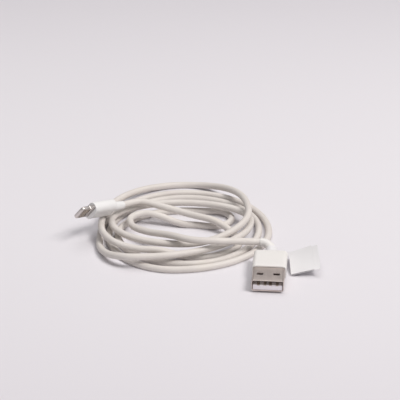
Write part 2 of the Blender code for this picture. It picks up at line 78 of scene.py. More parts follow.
# %% Camera
ELEVATION = math.radians(26.4)
DISTANCE = 0.8
WIDTH_AT_AIM = 0.1637
SENSOR = 36.0
AIM = (5.8, 33.7, 0.0)
aim = Vector(on_table(AIM))
back_off = Vector((0, -math.cos(ELEVATION), math.sin(ELEVATION))) * DISTANCE
lens = bpy.data.cameras.new("photo_camera")
lens.sensor_width = SENSOR
lens.lens = SENSOR * DISTANCE / WIDTH_AT_AIM
lens.clip_start = 0.01
camera = bpy.data.objects.new("photo_camera", lens)
camera.location = aim + back_off
camera.rotation_mode = "QUATERNION"
camera.rotation_quaternion = (-back_off).to_track_quat("-Z", "Y")
bpy.context.scene.collection.objects.link(camera)
bpy.context.scene.camera = camera
bpy.context.scene.view_settings.view_transform = "Standard"
print(f"focal length {lens.lens:.0f} mm at {DISTANCE} m")

# %% [markdown]
# ## Surfaces from formulas
# Every new piece is a grid of points: the rows run along the piece and the columns run round it.
# Modifiers could make most of them too, but with a formula each size stays in sight. One helper turns a
# grid into a mesh. A round piece joins its columns up, and a ring joins its rows up too. Edges that bend
# by more than 40 degrees stay crisp, and all others are shaded smooth.

# %% A grid of points as a mesh
SHARP_EDGE = math.radians(40)


def grid_piece(name, points, round_piece=True, ring=False, caps=False):
    """A mesh whose faces join the neighbours of a (rows, columns, 3) grid of points."""
    rows, columns, _ = points.shape
    row_steps = np.arange(rows if ring else rows - 1)
    column_steps = np.arange(columns if round_piece else columns - 1)
    r, c = np.meshgrid(row_steps, column_steps, indexing="ij")
    here, there = r * columns, (r + 1) % rows * columns
    beside = (c + 1) % columns
    faces = np.stack([here + c, there + c, there + beside, here + beside], axis=-1)
    faces = faces.reshape(-1, 4).tolist()
    if caps:
        first = list(range(columns))
        faces += [first, [(rows - 1) * columns + k for k in first[::-1]]]
    mesh = bpy.data.meshes.new(name)
    mesh.from_pydata(points.reshape(-1, 3).tolist(), [], faces)
    mesh.shade_smooth()
    mesh.set_sharp_from_angle(angle=SHARP_EDGE)
    made = bpy.data.objects.new(name, mesh)
    bpy.context.scene.collection.objects.link(made)
    return made


print(f"edges stay crisp from {math.degrees(SHARP_EDGE):.0f} degrees")

# %% [markdown]
# A tube is a line with a ring of points round each of its points. A curve object with a bevel makes tubes
# as well, but with our own rings we can press the lowest points onto the table. Each ring stands square
# to the line: one of its directions is level and the other rises, so it never twists.


# %% Lines and tubes
def along(points):
    """How far along the line each of its points is: the running sum of its steps."""
    return np.r_[0, np.cumsum(np.linalg.norm(np.diff(points, axis=0), axis=1))]


def evenly(points, step):
    """The same line with a point about every step, found by linear interpolation over its length."""
    run = along(points)
    at = np.linspace(0, run[-1], max(2, round(run[-1] / step) + 1))
    return np.stack([np.interp(at, run, points[:, k]) for k in range(3)], axis=1)


def unit(vectors):
    """Each vector divided by its length."""
    return vectors / np.linalg.norm(vectors, axis=-1, keepdims=True)


def tube_points(line, radius, sides):
    """Rings round a line: radius times cos a on the level direction plus sin a on the rising one."""
    way = unit(np.gradient(line, axis=0))
    level = unit(np.cross(way, [0, 0, 1.0]))[:, None]
    rising = np.cross(level, way[:, None])
    a = np.linspace(0, 2 * np.pi, sides, endpoint=False)[None, :, None]
    r = np.broadcast_to(radius, len(line))[:, None, None]
    return line[:, None] + r * (np.cos(a) * level + np.sin(a) * rising)


test_ring = tube_points(np.array([[0.0, 0.0, 0.0], [0.0, 1.0, 0.0]]), 1.0, 4)[0]
print("four points round a line along y:", (test_ring.round(1) + 0.0).tolist())

# %% [markdown]
# ## The cord's route
# A cord on a table lies in loose turns. A simulation could drop it there, but then no turn would lie as
# in the photograph. So each turn is given by stations: where it reaches furthest right, front, left or
# back. The two free ends run through listed points, straight out of each plug.

# %% Stations and free ends
FLOOR = 1.08
DEVICE_EXIT = (-24.8, 12.0, 8.6)
HOST_YAW = math.radians(-4.9)
HOST_H = 6.0
BEND = np.array([28.9, -17.1])
BEND_R = 4.4
BEND_Z = 4.9
BEND_STRAIGHT = 3.7
DEVICE_LEAD = [
    DEVICE_EXIT,
    (-21.4, 15.0, 8.1),
    (-17.0, 16.6, 7.7),
    (-8.0, 14.0, 6.5),
    (2.0, 10.2, 5.3),
    (11.5, 6.2, 4.5),
    (18.2, 1.4, 2.1),
]
STATIONS = [
    ("right", 21.1, -6.0, FLOOR),
    ("front", 4.0, -18.2, FLOOR),
    ("front", -14.0, -18.4, 4.7),
    ("left", -33.0, 1.0, 5.3),
    ("back", 0.0, 45.5, FLOOR),
    ("right", 25.0, 6.0, 8.7),
    ("front", -1.0, -13.8, 4.6),
    ("left", -29.1, 6.0, 4.6),
    ("back", -2.0, 22.0, 4.6),
    ("right", 25.9, 6.0, 4.7),
    ("front", -19.0, -24.8, 4.8),
    ("left", -33.5, -5.0, FLOOR),
    ("left", -33.5, 0.0, FLOOR),
    ("back", 0.0, 37.9, FLOOR),
    ("right", 33.0, 4.0, FLOOR),
    ("front", -4.0, -28.2, FLOOR),
    ("left", -30.0, 1.0, FLOOR),
    ("back", 0.0, 33.4, FLOOR),
    ("right", 29.1, 6.0, FLOOR),
    ("front", 1.0, -23.6, FLOOR),
    ("left", -26.4, 1.0, FLOOR),
    ("back", 0.0, 21.8, FLOOR),
    ("back", 11.0, 21.4, FLOOR),
    ("right", 18.4, 14.6, FLOOR),
    ("front", 11.0, 8.0, FLOOR),
    ("front", 2.0, 9.4, FLOOR),
    ("back", -15.8, 12.4, 4.6),
    ("left", -22.0, 6.4, 4.6),
]
HOST_LEAD = [
    (-20.2, 0.2, 4.9),
    (-14.5, -5.6, 5.7),
    (-6.0, -12.4, 7.8),
    (3.0, -18.2, 8.7),
    (13.0, -19.0, 8.6),
    (20.6, -16.6, 7.3),
    (26.0, -13.0, 5.2),
    (*(BEND + [0, BEND_R]), BEND_Z),
]
print("stations:", len(STATIONS), "free points:", len(DEVICE_LEAD) + len(HOST_LEAD))

# %% [markdown]
# Between two stations the cord is a quarter of an ellipse, and its height eases from one to the other, so
# that it climbs gently over the turns it crosses. Bezier handles could be set by hand instead, but here a
# turn follows from its stations alone.

# %% Turns
PER_QUARTER = 24


def wound_turns(stations, per_quarter):
    """Quarter ellipses: x goes as 1 - cos and y as sin of a quarter turn, or the other way round."""
    t = np.linspace(0, 1, per_quarter, endpoint=False)
    ease = (1 - np.cos(np.pi * t)) / 2
    slow = 1 - np.cos(t * np.pi / 2)
    fast = np.sin(t * np.pi / 2)
    made = []
    for (side, *start), (next_side, *end) in zip(stations, stations[1:]):
        shares = (t, ease, ease)
        if side in ("left", "right"):
            shares = (slow, fast, ease)
        elif next_side in ("left", "right"):
            shares = (fast, slow, ease)
        made.append(start + np.stack(shares, axis=1) * np.subtract(end, start))
    return np.vstack([*made, [stations[-1][1:]]])


turns = wound_turns(STATIONS, PER_QUARTER)
print(f"the turns are {along(turns)[-1]:.0f} mm long")

# %% [markdown]
# The host plug's strain relief is bent to the side, because its cord comes round from the coil. Its
# middle line could be one more hand-drawn curve. As an arc and a straight it meets the plug square and
# the cord level.

# %% Bend of the strain relief
ARC_POINTS = 28
STRAIGHT_POINTS = 9


def host_bend():
    """An arc about the bend's centre, then a straight along the nose, with the height eased down."""
    turn = np.linspace(0, np.pi / 2 - HOST_YAW, ARC_POINTS)
    arc = BEND + BEND_R * np.stack([np.sin(turn), np.cos(turn)], axis=1)
    nose = np.array([math.sin(HOST_YAW), -math.cos(HOST_YAW)])
    straight = arc[-1] + nose * np.linspace(0, BEND_STRAIGHT, STRAIGHT_POINTS)[1:, None]
    line = np.vstack([arc, straight])
    share = along(line) / along(line)[-1]
    drop = HOST_H / 2 - BEND_Z
    return np.column_stack([line, BEND_Z + drop * (1 - np.cos(np.pi * share)) / 2])


relief_line = host_bend()
print(f"the bent strain relief is {along(relief_line)[-1]:.1f} mm long")

# %% [markdown]
# Each plug has its own frame: x across, z through its thickness, the nose towards -y and y = 0 at its
# back. A parent object could turn a plug, but a finished piece has to sit unturned at the origin. So the
# points are turned, which is one matrix product for a whole array.


# %% Plug frames
def turned(axis, degrees):
    """The matrix that turns points about one axis."""
    c, s = math.cos(math.radians(degrees)), math.sin(math.radians(degrees))
    rows = {
        "x": [[1, 0, 0], [0, c, -s], [0, s, c]],
        "y": [[c, 0, s], [0, 1, 0], [-s, 0, c]],
        "z": [[c, -s, 0], [s, c, 0], [0, 0, 1]],
    }
    return np.array(rows[axis])


DEVICE_RELIEF_L = 6.5
DEVICE_YAW = -44.2
DEVICE_PITCH = -12
DEVICE_ROLL = -52
device_turn = turned("z", DEVICE_YAW) @ turned("x", DEVICE_PITCH) @ turned("y", DEVICE_ROLL)
device_nose = device_turn @ [0, -1, 0]
device_back = np.array(DEVICE_EXIT) + device_nose * DEVICE_RELIEF_L
PLUGS = {
    "host_plug": (turned("z", math.degrees(HOST_YAW)), relief_line[-1]),
    "device_plug": (device_turn, device_back),
}


def in_plug(points, plug):
    """A plug's points, turned and moved to the plug's back, as metres in the part's frame."""
    turn, back = PLUGS[plug]
    return on_table(points @ turn.T + back)


print("plug backs:", relief_line[-1].round(1), device_back.round(1))

# %% [markdown]
# Now the whole middle line of the cord, from one plug to the other. A free end is a cubic curve through
# its points. Straight pieces would be simpler, but a cubic leaves the plug straight and joins the turns
# smoothly. The points are much closer together than the CAD tube's, so the turns look smooth close up.

# %% Middle line of the cord
CORD_D = 2.7
PER_SPAN = 16
SLOPE_POINT = PER_QUARTER // 6
RELIEF_POINT = 3


def smooth_route(points, before, after, per_span):
    """A cubic for each span through its two points, with slopes that come from their neighbours."""
    knots = np.array([before, *points, after], float)
    p0, p1, p2, p3 = (knots[k : len(knots) - 3 + k, None] for k in range(4))
    t = np.linspace(0, 1, per_span, endpoint=False)[None, :, None]
    square = 2 * p0 - 5 * p1 + 4 * p2 - p3
    cube = 3 * p1 - p0 - 3 * p2 + p3
    made = p1 + ((p2 - p0) * t + square * t**2 + cube * t**3) / 2
    return np.vstack([made.reshape(-1, 3), knots[-2:-1]])


behind = DEVICE_EXIT + device_nose * CORD_D
first = smooth_route([*DEVICE_LEAD, turns[0]], behind, turns[SLOPE_POINT], PER_SPAN)
last = smooth_route([turns[-1], *HOST_LEAD], turns[-1 - SLOPE_POINT], relief_line[RELIEF_POINT], PER_SPAN)
cord_line = np.vstack([first[:-1], turns[:-1], last])
print(f"cord length {along(cord_line)[-1]:.0f} mm")

# %% [markdown]
# The cord is cut into three pieces where it runs straight: the coil, which rides on the cord's body, and
# the two free ends. Where the cord lies on the table its lowest points stop there, as the little flat
# that a soft cord gets.

# %% Cord pieces
CORD_STEP = 0.8
CORD_SIDES = 20
DEVICE_CUT = 4 * PER_SPAN + 3
HOST_CUT = len(cord_line) - 1 - 6 * PER_SPAN


def cord_piece(name, line, node):
    """A tube of the cord's radius along a stretch of the route, resting on the table."""
    line = evenly(line, CORD_STEP)
    rings = tube_points(line, CORD_D / 2, CORD_SIDES)
    rings[..., 2] = np.maximum(rings[..., 2], 0.0)
    made = grid_piece(name, on_table(rings), caps=True)
    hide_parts(node)
    print(name, f"{along(line)[-1]:.0f} mm")
    return made, on_table(line)


coil, coil_line = cord_piece("coil_skin", cord_line[DEVICE_CUT : HOST_CUT + 1], "cord_coil")
to_device, device_line = cord_piece("device_cord", cord_line[: DEVICE_CUT + 1], "device_lead")
to_host, host_line = cord_piece("host_cord", cord_line[HOST_CUT:], "host_lead")
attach(coil, "cord")
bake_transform(to_device)
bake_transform(to_host)

# %% [markdown]
# ## Plugs
# Housings and sleeve are hollow rounded bars along y. Bevelled cubes and Booleans would make them too,
# but as rings all their walls are in one list of rows. A row gives a ring's place along y, its half
# width, half height and corner radius. Rows may go back on themselves: a housing runs from its nose over
# the outside to its back, in through the cord's hole, and forward again along its pocket.

# %% Rings of a rounded bar
RIM_STEPS = 6
LEAST_CORNER = 0.05


def bar_rings(rows, per_corner=9):
    """Rounded rectangles: a corner is its centre plus the radius times (cos, sin) over a quarter turn."""
    y, a, b, r = (np.array(column, float)[:, None] for column in zip(*rows))
    quarter = np.linspace(0, np.pi / 2, per_corner)
    angle = (np.arange(4)[:, None] * np.pi / 2 + quarter).reshape(1, -1)
    sign_x = np.repeat([1, -1, -1, 1], per_corner)
    sign_z = np.repeat([1, 1, -1, -1], per_corner)
    x = sign_x * (a - r) + r * np.cos(angle)
    z = sign_z * (b - r) + r * np.sin(angle)
    return np.stack([x, np.broadcast_to(y, x.shape), z], axis=-1)


def rim(y, a, b, r, fillet, into):
    """Rows of a rounded end: a quarter circle from the flat at y to the full size, on the side of into."""
    t = np.linspace(0, np.pi / 2, RIM_STEPS)
    inset = fillet * (1 - np.sin(t))
    back = y + into * fillet * (1 - np.cos(t))
    return list(zip(back, a - inset, b - inset, np.maximum(r - inset, LEAST_CORNER)))


def stand_for(piece, body, *nodes):
    """The piece rides on a body and is shown in place of some CAD nodes."""
    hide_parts(*nodes)
    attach(piece, body)
    print(piece.name, "stands for", *nodes, "with", len(piece.data.polygons), "faces")
    return piece


print("points in a ring:", bar_rings([(0.0, 2.0, 1.0, 0.5)]).shape[1])

# %% [markdown]
# The host housing is a white moulded block, flat above and below, with rounded long edges. The device
# housing is almost a stadium in section. A Bevel modifier could round their ends, but with rows the
# rounding at the nose can be small and the one at the back larger.

# %% Housings
HOST_L = 13.0
DEVICE_L = 11.5
CORD_HOLE = (1.65, 1.65, 1.63)
SIDE_SHARES = (0.8, 0.6, 0.4, 0.2)
HOST_POCKET = (6.1, 2.35, 0.8)


def housing(name, plug, length, size, rounds, back_wall, pocket, front_wall, slot):
    """A closed ring of rows: nose, sides, back, cord hole, pocket and slot, rounded at nose and back."""
    rows = rim(-length, *size, rounds[0], 1)
    rows += [(-share * length, *size) for share in SIDE_SHARES]
    rows += rim(0.0, *size, rounds[1], -1)[::-1]
    rows += [(0.0, *CORD_HOLE), (-back_wall, *CORD_HOLE)]
    rows += [(-back_wall, *pocket), (front_wall - length, *pocket)]
    rows += [(front_wall - length, *slot), (-length, *slot)]
    return grid_piece(name, in_plug(bar_rings(rows), plug), ring=True)


host_skin = housing(
    "host_moulding",
    "host_plug",
    length=HOST_L,
    size=(6.45, HOST_H / 2, 1.5),
    rounds=(0.3, 0.5),
    back_wall=2.0,
    pocket=HOST_POCKET,
    front_wall=1.5,
    slot=HOST_POCKET,
)
device_skin = housing(
    "device_moulding",
    "device_plug",
    length=DEVICE_L,
    size=(3.85, 2.35, 2.1),
    rounds=(0.25, 0.6),
    back_wall=0.9,
    pocket=(3.42, 1.85, 1.6),
    front_wall=1.2,
    slot=(3.42, 0.9, 0.75),
)
stand_for(host_skin, "host_plug", "host_housing")
stand_for(device_skin, "device_plug", "device_housing", "device_back_plate")

# %% [markdown]
# Windows, grooves and notches are real holes. Each is cut by a rounded prism with a Boolean, which is
# quicker to read than a grid with holes in it. The result is stored in the mesh, and the prisms are
# deleted.

# %% Cutting
THROUGH = 4.0


def prism(size, place, plug, half_depth=THROUGH):
    """A rounded rectangle in x and y, carried up and down in z from its place."""
    upright = bar_rings([(half_depth, *size), (-half_depth, *size)])[..., [0, 2, 1]]
    return grid_piece("prism", in_plug(upright + place, plug), caps=True)


def cut_out(piece, prisms):
    """Takes the prisms out of the piece."""
    for each in prisms:
        piece.modifiers.new("cut", "BOOLEAN").object = each
    graph = bpy.context.evaluated_depsgraph_get()
    piece.data = bpy.data.meshes.new_from_object(piece.evaluated_get(graph))
    piece.modifiers.clear()
    for each in prisms:
        bpy.data.objects.remove(each)
    piece.data.shade_smooth()
    piece.data.set_sharp_from_angle(angle=SHARP_EDGE)
    print(len(prisms), "prisms cut out of", piece.name)


print(f"a prism goes {THROUGH} mm up and down, which is right through a plug")

# %% [markdown]
# The sleeve is a folded steel sheet with two windows above and two below. Solidify could thicken a plain
# tube, but the edge of this mouth is rounded. So its rows run out along the inside, round the mouth and
# back outside, and join up as a ring.

# %% Sleeve
SHEET = 0.3
SLEEVE_L = 10.4
SLEEVE_INSIDE = 6.6
WINDOW = (1.2, 0.85, 0.25)
MOUTH = -HOST_L - SLEEVE_L
MIDDLE_RING = MOUTH + 4
WINDOW_X = 3.1
WINDOW_Y = MOUTH + 5.3
SLEEVE_BACK = SLEEVE_INSIDE - HOST_L
outer = np.array([6.0, 2.25, 0.8])
inner = outer - SHEET
sleeve_rows = [(SLEEVE_BACK, *inner), (MIDDLE_RING, *inner)]
sleeve_rows += [(MOUTH + SHEET / 2, *inner), (MOUTH, *(inner + SHEET / 3))]
sleeve_rows += rim(MOUTH, *outer, SHEET / 2, 1)
sleeve_rows += [(MIDDLE_RING, *outer), (SLEEVE_BACK, *outer)]
sleeve = grid_piece("host_sleeve", in_plug(bar_rings(sleeve_rows), "host_plug"), ring=True)
cut_out(sleeve, [prism(WINDOW, (side * WINDOW_X, WINDOW_Y, 0), "host_plug") for side in (-1, 1)])
stand_for(sleeve, "host_plug", "host_shell")

# %% [markdown]
# Inside the mouth a tongue lies on the sleeve's floor, and a taller block carries it at the back. Four
# grooves for the contacts run out at its front. Two boxes would do for it, but one bar with a step has no
# seam.

# %% Tongue
TONGUE = (5.5, 1.06, 0.3)
TONGUE_Z = -0.81
TONGUE_FRONT = MOUTH + 0.3
TONGUE_ROUND = 0.12
TONGUE_BLOCK = (5.55, 1.91, 0.3)
BLOCK_FRONT = -12.2
BLOCK_BACK = SLEEVE_BACK - 0.2
GROOVE_FRONT = TONGUE_FRONT - 0.1
GROOVE_BACK = BLOCK_FRONT - 0.05
GROOVE_FLOOR = -0.15
GROOVE_HALF_W = 0.62
GROOVE_CORNER = 0.2
GROOVE_HALF_DEPTH = 2.0
CONTACTS = {1: (-3.5, 0.1), 2: (-1.0, 0.25), 3: (1.0, 0.25), 4: (3.5, 0.1)}
blade_rows = rim(TONGUE_FRONT, *TONGUE, TONGUE_ROUND, 1) + [(BLOCK_FRONT, *TONGUE)]
block_rows = [(BLOCK_FRONT, *TONGUE_BLOCK), (BLOCK_BACK, *TONGUE_BLOCK)]
tongue_rings = bar_rings(blade_rows + block_rows)
tongue_rings[: len(blade_rows), :, 2] += TONGUE_Z
tongue = grid_piece("tongue", in_plug(tongue_rings, "host_plug"), caps=True)


def groove(x):
    """A prism over one contact, open at the top and at the front."""
    half = (GROOVE_BACK - GROOVE_FRONT) / 2
    place = (x, GROOVE_FRONT + half, GROOVE_FLOOR + GROOVE_HALF_DEPTH)
    return prism((GROOVE_HALF_W, half, GROOVE_CORNER), place, "host_plug", GROOVE_HALF_DEPTH)


cut_out(tongue, [groove(x) for x, _ in CONTACTS.values()])
stand_for(tongue, "host_plug", "host_tongue")

# %% [markdown]
# The four contacts are flat strips in the grooves. The outer two reach a little further, and each dives
# into its groove at the nose, where plain boxes would end in a step. So a contact is a small bar along a
# curve.

# %% Host contacts
CONTACT = (0.5, 0.15, 0.08)
CONTACT_Z = 0.15
CONTACT_DIVE = 0.12
CONTACT_BACK = BLOCK_FRONT - 0.2
CONTACT_POINTS = 60
NOSE_L = 1.4


def contact_strip(number, x, setback):
    """A flat strip whose height falls at the nose as 1 - cos over a quarter turn."""
    y = np.linspace(TONGUE_FRONT + setback, CONTACT_BACK, CONTACT_POINTS)
    nose = np.clip(1 - (y - y[0]) / NOSE_L, 0, 1)
    rings = bar_rings([(place, *CONTACT) for place in y], per_corner=3)
    rings[..., 2] += (CONTACT_Z - CONTACT_DIVE * (1 - np.cos(nose * np.pi / 2)))[:, None]
    made = grid_piece(f"contact_strip_{number}", in_plug(rings + [x, 0, 0], "host_plug"), caps=True)
    return stand_for(made, "host_plug", f"host_contact_{number}")


host_contacts = [contact_strip(number, *facts) for number, facts in CONTACTS.items()]

# %% [markdown]
# The device plug ends in a flat metal tip. A bevelled box would be near, but all the edges of a real one
# are round. So its rows are plans of it at falling heights: small at the two faces and full in between. A
# window takes the contacts, and a notch in each edge is where a socket holds it.

# %% Tip
TIP = (3.35, 4.25, 1.3)
TIP_HALF_T = 0.75
TIP_ROUND = 0.6
TIP_REACH = 6.6
TIP_FRONT = -DEVICE_L - TIP_REACH
TIP_WINDOW = (2.7, 1.7, 0.2)
TIP_WINDOW_Y = TIP_FRONT + 2.9
NOTCH = (0.55, 0.55, 0.54)
NOTCH_X = 3.45
NOTCH_Y = TIP_FRONT + 4.3
tip_rows = rim(TIP_HALF_T, *TIP, TIP_ROUND, -1) + rim(-TIP_HALF_T, *TIP, TIP_ROUND, 1)[::-1]
tip_points = bar_rings(tip_rows)[..., [0, 2, 1]] + [0, TIP_FRONT + TIP[1], 0]
tip = grid_piece("tip", in_plug(tip_points, "device_plug"), caps=True)
tip_window = prism(TIP_WINDOW, (0, TIP_WINDOW_Y, 0), "device_plug")
notches = [prism(NOTCH, (side * NOTCH_X, NOTCH_Y, 0), "device_plug") for side in (-1, 1)]
cut_out(tip, [tip_window, *notches])
stand_for(tip, "device_plug", "device_tip")

# %% [markdown]
# A strain relief is a soft tube that swells from the cord towards the housing. Where the cord comes out
# it ends in a small rounded lip, a quarter circle in the radius. A turned shape could not follow the
# bend, so this is a tube whose radius changes along its line.

# %% Strain reliefs
FINE_STEP = 0.25
FINE_SIDES = 32
LIP_R = 1.6
LIP_L = 0.5
LIP_ROUND = 0.2
SWELL = 0.35
DEVICE_RELIEF_POINTS = 8


def relief_piece(name, line, node, body):
    """A tapered tube: the radius grows evenly from the lip to the root, and the lip is rounded off."""
    line = evenly(line, FINE_STEP)
    run = along(line)
    lip = np.clip(run / LIP_L, 0, 1)
    radius = LIP_R + SWELL * run / run[-1] - LIP_ROUND * (1 - np.sqrt(lip * (2 - lip)))
    made = grid_piece(name, on_table(tube_points(line, radius, FINE_SIDES)), caps=True)
    return stand_for(made, body, node)


host_relief = relief_piece("host_relief", relief_line, "host_strain_relief", "host_plug")
device_relief_line = np.linspace(DEVICE_EXIT, device_back, DEVICE_RELIEF_POINTS)
device_relief = relief_piece("device_relief", device_relief_line, "device_strain_relief", "device_plug")

# %% [markdown]
# ## Tag
# The tag is a film folded round the strain relief, with two leaves beside the plug. Cloth simulation
# would be too much for so stiff a film: a leaf is a flat sheet whose far end bends as the square of the
# distance, up at its back corner and a little down at its front one.

# %% Tag leaves
TAG_CORNER = np.array([40.05, -18.4, 3.2])
FILM_T = 0.16
CURL_UP = 0.7
CURL_DOWN = 0.35
LEAF_POINTS = (16, 12)
tag_right = unit(np.array([10.9, -0.4, 3.4]))
tag_up = unit(np.cross(tag_right, [0.9, 14.0, 3.1]))
tag_front = np.cross(tag_right, tag_up)


def leaf_piece(name, node, length, width, lift):
    """A thin leaf: s runs to the free end, t to the front below and back above; it curls as s squared."""
    s = np.linspace(0, 1, LEAF_POINTS[0])[:, None]
    there = np.linspace(0, 1, LEAF_POINTS[1])
    t = np.r_[there, there[::-1]][None]
    face = np.repeat([0.0, FILM_T], len(there))[None]
    curl = s**2 * (CURL_UP * (1 - t) - CURL_DOWN * t)
    spots = [s * length + 0 * t, t * width + 0 * s, lift + face + curl]
    ways = (tag_right, tag_front, tag_up)
    points = TAG_CORNER + sum(spot[..., None] * way for spot, way in zip(spots, ways))
    return stand_for(grid_piece(name, on_table(points), caps=True), "tag", node)


flag = leaf_piece("flag_leaf", "tag_flag", length=9.2, width=13.4, lift=0.1)
back_leaf = leaf_piece("flag_back_leaf", "tag_back_leaf", length=11.4, width=13.4, lift=-0.35)

# %% [markdown]
# The part of the film that goes round the strain relief is a thin tube. Solidify on an open tube would
# leave its ends to chance, so it goes out along its outside, back along the inside, and is joined up as a
# ring.

# %% Tag wrap
WRAP_NEAR = 0.5
WRAP_FAR = 4.6
WRAP_OUTER_R = 2.3
WRAP_INNER_R = 2.12
wrap_line = evenly(relief_line, FINE_STEP)
to_housing = along(wrap_line)[-1] - along(wrap_line)
wrap_line = wrap_line[(to_housing > WRAP_NEAR) & (to_housing < WRAP_FAR)]
outside = tube_points(wrap_line, WRAP_OUTER_R, FINE_SIDES)
inside = tube_points(wrap_line, WRAP_INNER_R, FINE_SIDES)
wrap = grid_piece("tag_wrap", on_table(np.concatenate([outside, inside[::-1]])), ring=True)
stand_for(wrap, "host_plug", "tag_sleeve")

# %% [markdown]
# ## Looks
# Shader nodes can be wired by hand, one line for each link, but a formula is easier to read. A little
# class lets us write shader maths as ordinary maths: each operator adds one Math node and returns its
# output.


# %% Shader maths
class Value:
    """A shader socket that can be added, multiplied and compared."""

    def __init__(self, look, socket):
        self.look = look
        self.socket = socket

    def maths(self, operation, first, second, **settings):
        """One Math node on two values or numbers."""
        return self.look.add("ShaderNodeMath", {0: first, 1: second}, operation=operation, **settings)

    def __add__(self, other):
        return self.maths("ADD", self, other)

    def __sub__(self, other):
        return self.maths("SUBTRACT", self, other)

    def __rsub__(self, other):
        return self.maths("SUBTRACT", other, self)

    def __mul__(self, other):
        return self.maths("MULTIPLY", self, other)

    def __gt__(self, other):
        return self.maths("GREATER_THAN", self, other)

    def kept_in_range(self):
        """The value held between 0 and 1."""
        return self.maths("ADD", self, 0.0, use_clamp=True)

    __radd__ = __add__
    __rmul__ = __mul__


print("shader values can be added, subtracted, multiplied and compared")

# %% [markdown]
# A second class holds a material and adds any other node through one method. Patterns could read
# Generated coordinates, but those stretch with the box of each piece. Object coordinates keep one scale,
# and they stay with a piece when it moves.


# %% Materials
class Look:
    """One material with a Principled shader, and a way to add nodes to it."""

    def __init__(self, name, **constants):
        self.material = bpy.data.materials.new(name)
        self.material.use_nodes = True
        self.tree = self.material.node_tree
        self.shader = self.tree.nodes["Principled BSDF"]
        for key, value in constants.items():
            self.shader.inputs[self.label(key)].default_value = value

    @staticmethod
    def label(key):
        """The shader's own name for an input, such as Base Color for base_color."""
        return key.replace("_", " ").title().replace("Ior", "IOR")

    def add(self, kind, inputs=None, output=0, **settings):
        """A node of any kind: its settings first, then its sockets, then one of its outputs as a Value."""
        node = self.tree.nodes.new(kind)
        for key, value in settings.items():
            setattr(node, key, value)
        for key, value in (inputs or {}).items():
            if isinstance(value, Value):
                self.tree.links.new(value.socket, node.inputs[key])
            else:
                node.inputs[key].default_value = value
        return Value(self, node.outputs[output])

    def place(self):
        """Where a point is on its piece, in metres."""
        return self.add("ShaderNodeTexCoord", output="Object")

    def part_of_place(self, axis):
        """One of the three numbers of a place."""
        return self.add("ShaderNodeSeparateXYZ", {"Vector": self.place()}, output=axis)

    def noise(self, scale, detail=2.0, stretch=(1.0, 1.0, 1.0)):
        """A cloudy pattern from about 0 to 1, finer where the scale is larger."""
        where = self.add("ShaderNodeMapping", {"Vector": self.place(), "Scale": stretch})
        return self.add("ShaderNodeTexNoise", {"Vector": where, "Scale": scale, "Detail": detail})

    def mix(self, share, low, high):
        """Low where the share is 0, high where it is 1; either may be a colour or a Value."""
        low, high = (c if isinstance(c, Value) else (*c, 1.0) for c in (low, high))
        return self.add("ShaderNodeMix", {0: share, 6: low, 7: high}, output=2, data_type="RGBA")

    def drive(self, **inputs):
        """Values into inputs of the shader."""
        for key, value in inputs.items():
            self.tree.links.new(value.socket, self.shader.inputs[self.label(key)])

    def bump(self, height, strength, distance):
        """A slight relief that follows a value."""
        facts = {"Height": height, "Strength": strength, "Distance": distance}
        self.drive(normal=self.add("ShaderNodeBump", facts))


print("the name base_color stands for the input", Look.label("base_color"))

# %% [markdown]
# A piece wears a look through its mesh's list of materials. A CAD node brings a plain one of its own. We
# could rewire that, but an emptied list takes any look, for made pieces and CAD nodes alike.


# %% Dressing a piece
def dress(look, slot, *pieces):
    """Gives the pieces one look; the slot argument is not used."""
    for piece in pieces:
        piece.data.materials.clear()
        piece.data.materials.append(look.material)
    print(look.material.name, "on", len(pieces), "pieces")


# %% [markdown]
# The cord's jacket is a satin white rubber. A used one is a little warm and uneven, with faint grey
# handling marks and a few yellowed spots. A painted texture could hold them, but noise needs no
# unwrapping: a slow one places the marks, and a fine one gives the grain.

# %% Cord jacket
jacket = Look("jacket_look", specular_ior_level=0.35)
smudge = jacket.noise(90, detail=4)
yellowed = ((jacket.noise(45, detail=2) - 0.62) * 5).kept_in_range() * 0.5
worn = jacket.mix(smudge, (0.59, 0.545, 0.51), (0.76, 0.72, 0.685))
aged = jacket.mix(yellowed, worn, (0.66, 0.60, 0.49))
jacket.drive(base_color=aged, roughness=smudge * 0.16 + 0.42)
jacket.bump(jacket.noise(2600, detail=2), strength=0.06, distance=0.0002)
dress(jacket, "cord_jacket", coil, to_device, to_host)

# %% [markdown]
# The mouldings are a harder, glossier white. Their noise is slower and fainter, like slight sink marks.
# The device plug is whiter, and part of that is painted light that lifts its downward face out of shade.
# Two materials written out would repeat each other, so both come from one recipe, each with its own
# pair of colours.


# %% Moulded plastic
def moulded_look(name, low, high):
    """A glossy plastic between two near colours, rougher where it is paler."""
    look = Look(name, specular_ior_level=0.5)
    cloud = look.noise(60, detail=3)
    look.drive(base_color=look.mix(cloud, low, high), roughness=cloud * 0.14 + 0.32)
    look.bump(look.noise(900, detail=2), strength=0.03, distance=0.0002)
    return look


host_plastic = moulded_look("host_plastic_look", (0.74, 0.715, 0.69), (0.80, 0.78, 0.755))
dress(host_plastic, "plug_plastic", host_skin, host_relief)
# The device's whiter colours are partly painted light for its face that looks down.
device_plastic = moulded_look("device_plastic_look", (0.775, 0.768, 0.762), (0.825, 0.818, 0.812))
dress(device_plastic, "plug_plastic", device_skin, device_relief)

# %% [markdown]
# Sleeve, tip, crimps and shields are stamped steel. An anisotropic shader could show the lines of the
# rolled sheet, but few other programs know it. Noise stretched along y shows them in the colour, in the
# roughness and as a slight bump. The sleeve and the tip get lighter copies of the steel: painted light
# on faces that the lamps leave darker.


# %% Steel
def steel_look(name, low, high):
    """A metal with faint lines along y."""
    look = Look(name, metallic=1.0)
    lines = look.noise(2200, detail=3, stretch=(1.0, 0.06, 1.0))
    look.drive(base_color=look.mix(lines, low, high), roughness=lines * 0.16 + 0.36)
    look.bump(lines, strength=0.05, distance=0.0001)
    return look


